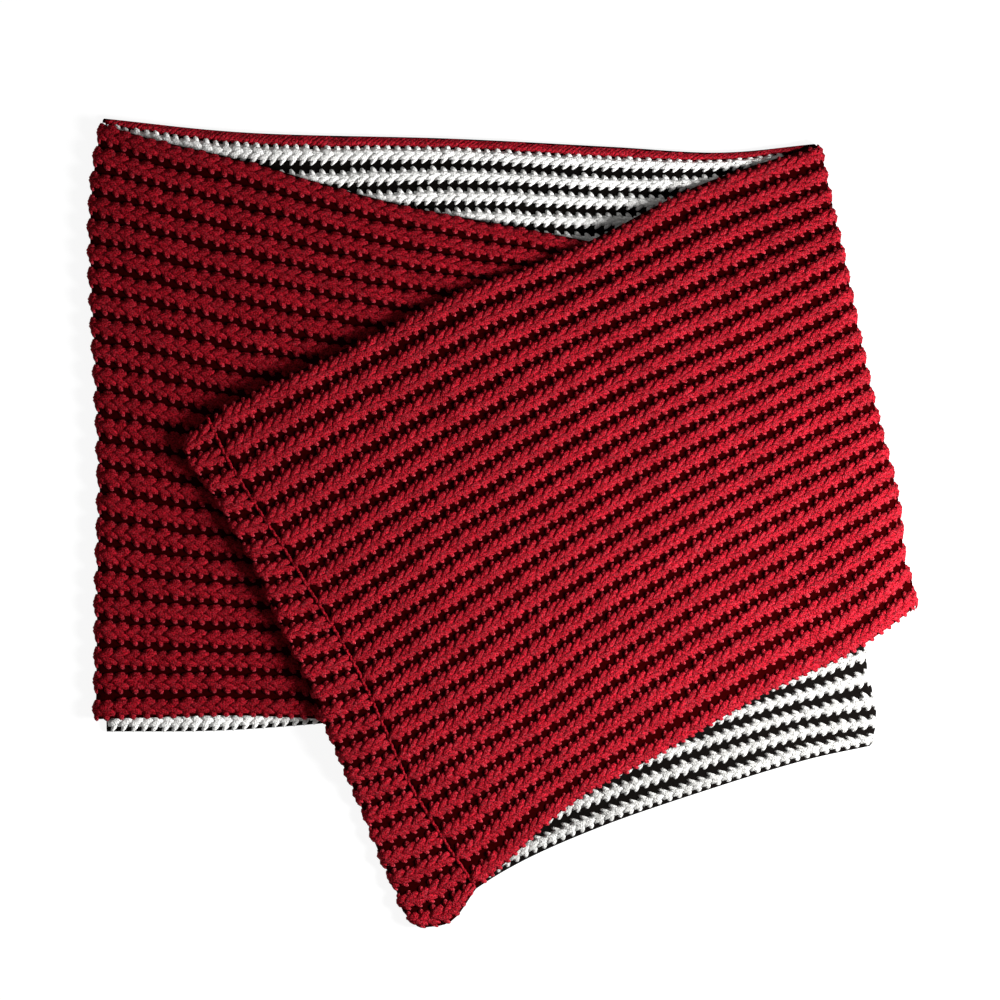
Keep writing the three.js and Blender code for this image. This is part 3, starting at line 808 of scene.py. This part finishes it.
left_cloth = cloth_shell("left_cloth", left_rows, range(0, 24), left_stitch_length,
                         (black_ground_red_reflection, white_reverse), trims=(0.05, 0.09))
left_surface = stitch_surface("left_surface", left_rows, 0, 24)
left_wales = wale_lines("left_wales", left_rows, range(0, 24), left_stitch_length, (top_cover,),
                        shifts={23: 0.05})
left_ribs = knit_rows("left_ribs", left_wales, left_surface, left_stitch,
                      left_stitch_length / flat_length,
                      (left_stitch_length / flat_length, 1.07 / flat_ribs, 1),
                      left_yarn_painted_shade, 7)
for piece in (left_cloth, left_ribs):
    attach(piece, "root")
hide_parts("left_stretch")


# Under stretch: the third quarter of the loop, white face up. It lies loose on the left stretch,
# shows at the lower right, and turns down to the left stretch round the inner fold.

under_stitch_length = 5.15 * mm
under_lines = [
    end_fold_line,
    [(0, -107, 64.5), (12, -52, -57), (24, 1, -173)],
    [(0, -42, 78), (12, 4, -37), (24, 48, -151.5)],
    [(0, 43, 94.5), (12, 76, -19.5), (24, 108, -130.5)],
    [(0, 113, 107), (12, 131, -7), (24, 151, -117.5)],
    inner_fold_line,
]


def under_height(plan):
    return left_height(plan) + layer_pitch * lift(left_outline, plan)


def under_rows(ribs):
    flat = flat_rows(under_lines, under_height, np.linspace(0.02, 0.95, 100), ribs)
    fold = fold_rows(under_lines, under_height, left_height, ribs)
    return folded_rows(flat, fold)


# The under stretch's white yarn: the back stretch's yarn made darker, as painted shade against the
# stronger light that falls on it near the lamp
under_yarn_painted_shade = yarn_finish("under_yarn_painted_shade", (0.37, 0.365, 0.345, 1.0), (0.53, 0.525, 0.51, 1.0),
                         (0.50, 0.49, 0.48, 1.0), 0.1, 0.12)
under_cloth = cloth_shell("under_cloth", under_rows, range(0, 24), under_stitch_length,
                          (black_ground, red_reverse), trims=(0.09, 0.02))
under_surface = stitch_surface("under_surface", under_rows, 0, 24)
under_wales = wale_lines("under_wales", under_rows, range(0, 24), under_stitch_length, (top_cover,))
under_ribs = knit_rows("under_ribs", under_wales, under_surface, white_stitch,
                       under_stitch_length / flat_length,
                       (under_stitch_length / flat_length, 0.95 / flat_ribs, 1), under_yarn_painted_shade, 11)
for piece in (under_cloth, under_ribs):
    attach(piece, "root")
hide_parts("under_stretch")


# Top stretch: the last quarter, red face up, across the others. It runs from the seam to the
# outer fold, where it turns down to the back stretch. Its lower edge is tucked near that fold.

top_stitch_length = 5.35 * mm
under_outline = outline_of(under_lines, 0, 24)


def top_height(plan):
    return under_height(plan) + layer_pitch * lift(under_outline, plan)


def top_crease(place, rib):
    """The tuck along the lower edge: the cloth swells, then drops before its last rib."""
    grows = smooth_step((place - 0.6) / 0.3)
    swell = smooth_step((rib - 18) / 2.5) * (1 - smooth_step((rib - 21.3) / 0.6))
    trough, last_rib = np.exp(-((rib - 22) / 0.3) ** 2), np.exp(-((rib - 22.6) / 0.35) ** 2)
    return grows * (1.9 * swell - 0.5 * trough + 1.1 * last_rib) * mm


def top_rows(ribs):
    flat = flat_rows(top_lines, top_height, np.linspace(0.0, 0.94, 110), ribs, top_crease)
    fold = fold_rows(top_lines, top_height, back_height, ribs, top_crease)
    return folded_rows(flat, fold)


top_cloth = cloth_shell("top_cloth", top_rows, range(0, 23), top_stitch_length,
                        (black_ground_red_reflection, white_reverse), trims=(0.04, 0.09))
top_surface = stitch_surface("top_surface", top_rows, 0, 23)

# The red face's stitch has fuller legs than the white one's, and its turns go more straight across
red_legs = [
    (0.4, [(-0.75, -0.08, 2.1, 1.4), (-0.25, 0.05, 2.5, 1.75), (0.20, 0.14, 2.55, 1.75),
           (0.72, 0.18, 2.0, 1.35)]),
    (0.4, [(-0.65, 0.08, 2.1, 1.4), (-0.15, -0.05, 2.5, 1.75), (0.30, -0.14, 2.55, 1.75),
           (0.82, -0.18, 2.0, 1.35)]),
    (1.0, [(-0.04, 0.20, 2.15, 1.2), (0.04, 0.28, 2.3, 1.2), (0.11, 0.345, 2.05, 0.95),
           (0.15, 0.395, 1.5, 0.5)]),
    (1.0, [(0.06, -0.20, 2.15, 1.2), (0.16, -0.28, 2.3, 1.2), (0.25, -0.345, 2.05, 0.95),
           (0.31, -0.395, 1.5, 0.5)]),
]
red_stitch = yarn_stitch("red_stitch", red_legs, drawn_stitch, drawn_rib)
top_size = (top_stitch_length / flat_length, 1.1 / flat_ribs, 1)
top_ribs = []
for name, ribs, seed in (("top_ribs_upper", range(0, 12), 13), ("top_ribs_lower", range(12, 23), 17)):
    wales = wale_lines(name + "_wales", top_rows, ribs, top_stitch_length, ends=(0.55, 0.65),
                       phase=0.72, shifts={0: -0.03, 22: 0.06})
    top_ribs.append(knit_rows(name, wales, top_surface, red_stitch, top_size[0], top_size,
                              red_yarn, seed))
for piece in (top_cloth, *top_ribs):
    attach(piece, "root")
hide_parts("top_stretch")


# End band: the same cloth beyond the seam, turned under at the end fold. Its stitches are looser
# than those of the top stretch, and its lowest rib isn't turned under as it is there.

band_stitch_length = 6.2 * mm
band_seam_line = [*seam_line[:-1], (22, -22.2, -168.5), (23, -16.5, -176.8), (24, -13, -182)]
band_middle_line = [(0, -153.5, 50), (2, -144, 28), (6, -117, -16), (12, -86, -75),
                    (18, -59, -136), (21, -43.5, -167), (22, -38.5, -177), (23, -32.5, -187.5),
                    (24, -25.5, -199)]

# The band's end stands this far from the top stretch's, in millimetres
seam_gap = 0.35
band_lines = [[(rib, x - seam_gap, y) for rib, x, y in band_seam_line], band_middle_line,
              end_fold_line]


def band_rows(ribs):
    flat = flat_rows(band_lines, top_height, np.linspace(0.0, 0.7, 20), ribs)
    fold = fold_rows(band_lines, top_height, under_height, ribs)
    return folded_rows(flat, fold, runs_left=True, from_end=True)


band_cloth = cloth_shell("band_cloth", band_rows, range(0, 24), band_stitch_length,
                         (black_ground_red_reflection, white_reverse))
band_surface = stitch_surface("band_surface", band_rows, 0, 24)
band_wales = wale_lines("band_wales", band_rows, range(0, 24), band_stitch_length, phase=0.2,
                        ends=(0.6, 0.6), shifts={22: 0.04, 23: -0.02})
band_ribs = knit_rows("band_ribs", band_wales, band_surface, red_stitch,
                      band_stitch_length / flat_length,
                      (band_stitch_length / flat_length, 1.12 / flat_ribs, 1),
                      red_yarn, 19)
for piece in (band_cloth, band_ribs):
    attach(piece, "root")
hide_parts("end_band")


# Seam: the two ends of the strip, sewn edge to edge with a row of small crimson loops. It crosses
# the top stretch near its left end, and the ribs on its two sides stop just short of it.

seam_spacing = 0.3 / flat_ribs
seam_loop_width = 2 * mm
seam_loop_length = 3.4 * mm
seam_legs = [(0.4, [(0.15, -0.65, 2.1, 0.65), (-0.1, -0.2, 2.8, 0.8), (0.1, 0.2, 2.8, 0.8),
                    (-0.15, 0.65, 2.1, 0.65)])]
seam_loop = yarn_stitch("seam_loop", seam_legs, seam_loop_width, seam_loop_length)
seam_yarn = yarn_finish("seam_yarn", (0.08, 0.0004, 0.0015, 1.0), (0.38, 0.008, 0.018, 1.0),
                        (0.40, 0.05, 0.07, 1.0), 0.0, 0.03)
seam_x, seam_first = to_flat(0.0, 0.2)
seam_last = to_flat(0.0, 22.6)[1]
seam_route = new_object("seam_route", [(float(seam_x), float(seam_last), 0.0),
                                       (float(seam_x), float(seam_first), 0.0)], [], [(0, 1)])
seam_stitches = knit_rows("seam_stitches", seam_route, top_surface, seam_loop, seam_spacing,
                          (seam_loop_width / flat_length, seam_spacing, 1), seam_yarn, 23)
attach(seam_stitches, "root")

# The single stitches and the surfaces that they were wrapped on are only helpers
for helper in (white_stitch, red_stitch, rim_stitch, left_stitch, seam_loop, back_surface,
               rim_surface, left_surface, under_surface, top_surface, band_surface):
    bpy.data.objects.remove(helper)


# Stage: a plain pale floor just under the scarf, a soft light low on the right that leaves shade in
# the valleys, and the camera straight above.

floor = new_object("floor", [(-2, -2, 0), (2, -2, 0), (2, 2, 0), (-2, 2, 0)], [(0, 1, 2, 3)])
floor.location.z = -0.3 * mm
floor_finish = bpy.data.materials.new("floor_finish")
floor_finish.use_nodes = True
floor_shader = floor_finish.node_tree.nodes["Principled BSDF"]
floor_shader.inputs["Base Color"].default_value = (0.16, 0.16, 0.16, 1)
floor_shader.inputs["Roughness"].default_value = 0.9
floor_shader.inputs["Emission Color"].default_value = (1, 1, 1, 1)
floor_shader.inputs["Emission Strength"].default_value = 0.9
floor.data.materials.append(floor_finish)


def soft_light(name, place, size, power):
    light = bpy.data.lights.new(name, "AREA")
    light.shape = "DISK"
    light.size = size
    light.energy = power
    lamp = bpy.data.objects.new(name, light)
    lamp.location = place
    lamp.rotation_euler = (-Vector(place)).to_track_quat("-Z", "Y").to_euler()
    lamp.visible_camera = False
    bpy.context.scene.collection.objects.link(lamp)


soft_light("key", (0.46, -0.12, 0.33), 0.28, 9.8)
world = bpy.data.worlds.new("studio")
world.use_nodes = True
world.node_tree.nodes["Background"].inputs["Color"].default_value = (1, 1, 1, 1)
world.node_tree.nodes["Background"].inputs["Strength"].default_value = 0.19
bpy.context.scene.world = world

# The picture is this wide where the cloth lies, at half the scarf's height
camera_height = 2.0
view_width = 0.5
view_level = 8 * mm
view_centre = (-0.95 * mm, 12.1 * mm)
sensor_width = 36
camera = bpy.data.objects.new("camera", bpy.data.cameras.new("camera"))
camera.data.sensor_width = sensor_width
camera.data.lens = sensor_width * (camera_height - view_level) / view_width
camera.location = (*view_centre, camera_height)
bpy.context.scene.collection.objects.link(camera)
bpy.context.scene.camera = camera
bpy.context.scene.view_settings.view_transform = "Standard"
